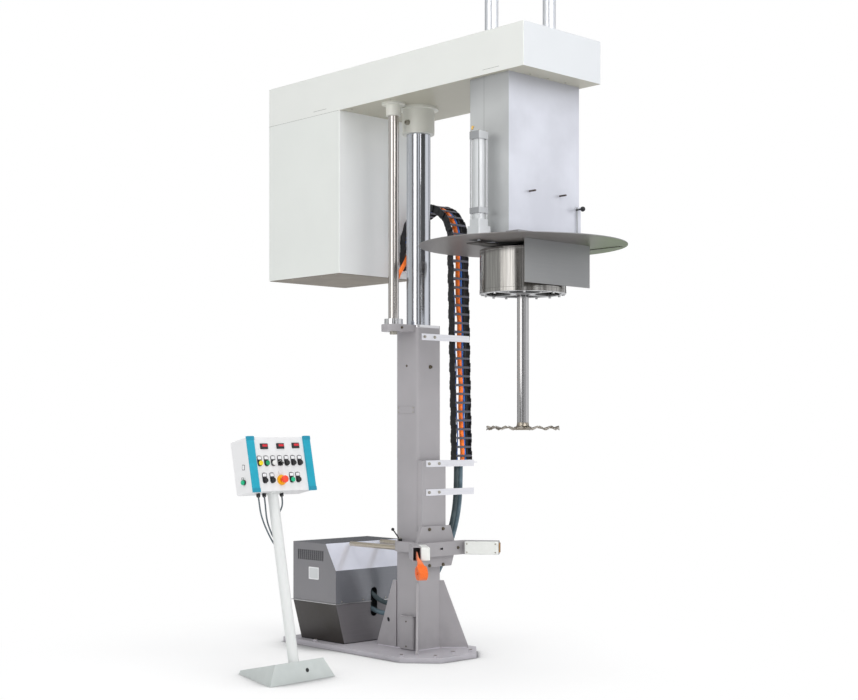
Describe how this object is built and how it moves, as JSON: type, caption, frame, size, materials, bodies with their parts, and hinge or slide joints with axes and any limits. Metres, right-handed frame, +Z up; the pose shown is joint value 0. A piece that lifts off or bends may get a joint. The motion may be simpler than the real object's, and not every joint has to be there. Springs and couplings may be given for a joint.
{
  "type": "basket mill",
  "caption": "Floor-standing basket mill: column with a hydraulic lifting head, belt-driven mill shaft with basket and toothed disc, lid, vessel clamp and control pedestal.",
  "frame": {"origin": "on the floor, under the axis of the lifting ram, at the underside of the base plate", "axes": "+Z up, the mill hangs towards -Y, the motor box lies towards +Y, +X is the right side seen from the mill"},
  "size_m": [2.0318, 2.588, 4.1],
  "materials": {
    "frame_grey": "satin powder coat",
    "beam_white": "satin powder coat",
    "stainless": "vertical brushed",
    "lid_steel": "satin",
    "polished_steel": "polished",
    "chain_black": "matt",
    "strip_aluminium": "satin",
    "air_aluminium": "anodised",
    "hose_rubber": "matt",
    "cable_grey": "matt",
    "belt_rubber": "matt",
    "hood_grey": "satin powder coat",
    "tray_dark": "satin",
    "machine_grey": "cast and painted",
    "pedestal_paint": "satin powder coat",
    "panel_grey": "satin powder coat",
    "strip_teal": "satin",
    "fitting_black": "satin",
    "button_yellow": "gloss",
    "button_green": "gloss",
    "button_white": "gloss",
    "button_black": "gloss",
    "stop_red": "gloss",
    "pad_white": "matt",
    "strap_orange": "woven webbing",
    "ball_black": "gloss"
  },
  "bodies": {
    "root": {"base_plate": "frame_grey", "column": "frame_grey", "access_cover": "frame_grey", "rod_bracket": "frame_grey", "guide_bushes": "stainless", "lift_cylinder": "machine_grey", "chain_brackets": "strip_aluminium", "chain_fixed_run": "chain_black", "hydraulic_tray": "tray_dark", "hydraulic_hood": "hood_grey", "power_pack": "machine_grey", "clamp_bracket": "frame_grey", "hose_supply": "hose_rubber", "hose_return": "hose_rubber", "pedestal_base": "pedestal_paint", "pedestal_post": "pedestal_paint", "panel_housing": "panel_grey", "handle_strips": "strip_teal", "panel_fittings": "fitting_black", "panel_cable_left": "cable_grey", "panel_cable_middle": "cable_grey", "panel_cable_right": "cable_grey"},
    "head": {"beam_housing": "beam_white", "motor_box": "beam_white", "drive_motor": "machine_grey", "drive_belt": "belt_rubber", "lift_ram": "polished_steel", "guide_rod": "polished_steel", "mill_housing": "stainless", "spindle_housing": "machine_grey", "lid": "lid_steel", "air_cylinder": "air_aluminium", "chain_moving_run": "chain_black"},
    "chain_arc": {"chain_loop": "chain_black"},
    "motor_rotor": {"motor_pulley": "stainless"},
    "spindle": {"mill_shaft": "polished_steel", "dissolver_disc": "stainless"},
    "basket": {"mill_basket": "stainless", "basket_bottom": "stainless", "lift_frame": "stainless"},
    "rotor": {"mill_rotor": "stainless"},
    "hatch_flap": {"hatch": "lid_steel"},
    "plunger": {"index_knob": "ball_black"},
    "clamp": {"clamp_yoke": "frame_grey", "clamp_pads": "pad_white", "tension_strap": "strap_orange"},
    "lever": {"clamp_lever": "ball_black"},
    "button_yellow_cap": {"button_yellow": "button_yellow"},
    "button_green_cap": {"button_green": "button_green"},
    "button_white_cap": {"button_white": "button_white"},
    "selector_switch_cap": {"selector_switch": "button_black"},
    "button_black_a_cap": {"button_black_a": "button_black"},
    "button_black_b_cap": {"button_black_b": "button_black"},
    "button_black_c_cap": {"button_black_c": "button_black"},
    "button_black_d_cap": {"button_black_d": "button_black"},
    "button_black_e_cap": {"button_black_e": "button_black"},
    "button_green_low_cap": {"button_green_low": "button_green"},
    "button_black_f_cap": {"button_black_f": "button_black"},
    "side_button_cap": {"side_button": "button_green"},
    "estop_button_cap": {"estop_button": "stop_red"}
  },
  "joints": [
    {"name": "head_lift", "type": "slide", "parent": "root", "child": "head", "axis": [0, 0, 1], "range_m": [-1.1, 0]},
    {"name": "chain_roll", "type": "slide", "parent": "head", "child": "chain_arc", "axis": [0, 0, 1], "range_m": [0, 0.55], "deforming": ["chain_moving_run", "chain_fixed_run"]},
    {"name": "shaft_spin", "type": "hinge", "parent": "head", "child": "spindle", "pos_m": [0, -0.885, 1.4], "axis": [0, 0, 1], "continuous": true},
    {"name": "motor_spin", "type": "hinge", "parent": "head", "child": "motor_rotor", "pos_m": [0, 0.735, 3.4], "axis": [0, 0, 1], "continuous": true},
    {"name": "basket_lift", "type": "slide", "parent": "head", "child": "basket", "axis": [0, 0, 1], "range_m": [-0.4, 0]},
    {"name": "rotor_spin", "type": "hinge", "parent": "basket", "child": "rotor", "pos_m": [0, -0.885, 2.3], "axis": [0, 0, 1], "continuous": true},
    {"name": "hatch_swing", "type": "hinge", "parent": "head", "child": "hatch_flap", "pos_m": [0.38, -0.992, 2.467], "axis": [-1, 0, 0], "range_deg": [0, 100]},
    {"name": "plunger_pull", "type": "slide", "parent": "head", "child": "plunger", "axis": [0, -1, 0], "range_m": [0, 0.01], "stiffness_N_per_m": 800},
    {"name": "clamp_reach", "type": "slide", "parent": "root", "child": "clamp", "axis": [0, -1, 0], "range_m": [0, 0.35]},
    {"name": "lever_turn", "type": "hinge", "parent": "root", "child": "lever", "pos_m": [-0.13, 0.028, 0.7], "axis": [0, 0, 1], "range_deg": [0, 90]},
    {"name": "button_yellow_press", "type": "slide", "parent": "root", "child": "button_yellow_cap", "axis": [0, 0.9781, -0.2079], "range_m": [0, 0.004], "stiffness_N_per_m": 300},
    {"name": "button_green_press", "type": "slide", "parent": "root", "child": "button_green_cap", "axis": [0, 0.9781, -0.2079], "range_m": [0, 0.004], "stiffness_N_per_m": 300},
    {"name": "button_white_press", "type": "slide", "parent": "root", "child": "button_white_cap", "axis": [0, 0.9781, -0.2079], "range_m": [0, 0.004], "stiffness_N_per_m": 300},
    {"name": "button_black_a_press", "type": "slide", "parent": "root", "child": "button_black_a_cap", "axis": [0, 0.9781, -0.2079], "range_m": [0, 0.004], "stiffness_N_per_m": 300},
    {"name": "button_black_b_press", "type": "slide", "parent": "root", "child": "button_black_b_cap", "axis": [0, 0.9781, -0.2079], "range_m": [0, 0.004], "stiffness_N_per_m": 300},
    {"name": "button_black_c_press", "type": "slide", "parent": "root", "child": "button_black_c_cap", "axis": [0, 0.9781, -0.2079], "range_m": [0, 0.004], "stiffness_N_per_m": 300},
    {"name": "button_black_d_press", "type": "slide", "parent": "root", "child": "button_black_d_cap", "axis": [0, 0.9781, -0.2079], "range_m": [0, 0.004], "stiffness_N_per_m": 300},
    {"name": "button_black_e_press", "type": "slide", "parent": "root", "child": "button_black_e_cap", "axis": [0, 0.9781, -0.2079], "range_m": [0, 0.004], "stiffness_N_per_m": 300},
    {"name": "button_green_low_press", "type": "slide", "parent": "root", "child": "button_green_low_cap", "axis": [0, 0.9781, -0.2079], "range_m": [0, 0.004], "stiffness_N_per_m": 300},
    {"name": "button_black_f_press", "type": "slide", "parent": "root", "child": "button_black_f_cap", "axis": [0, 0.9781, -0.2079], "range_m": [0, 0.004], "stiffness_N_per_m": 300},
    {"name": "selector_turn", "type": "hinge", "parent": "root", "child": "selector_switch_cap", "pos_m": [-1.191, -0.14214, 1.20565], "axis": [0, -0.9781, 0.2079], "range_deg": [-90, 0]},
    {"name": "side_button_press", "type": "slide", "parent": "root", "child": "side_button_cap", "axis": [1, 0, 0], "range_m": [0, 0.004], "stiffness_N_per_m": 300},
    {"name": "estop_press", "type": "slide", "parent": "root", "child": "estop_button_cap", "axis": [0, 0.9781, -0.2079], "range_m": [0, 0.006]}
  ],
  "couplings": [
    {"joint": "chain_roll", "follows": "head_lift", "ratio": -0.5},
    {"joint": "motor_spin", "follows": "shaft_spin", "ratio": 1.2632},
    {"joint": "rotor_spin", "follows": "shaft_spin", "ratio": 1}
  ]
}
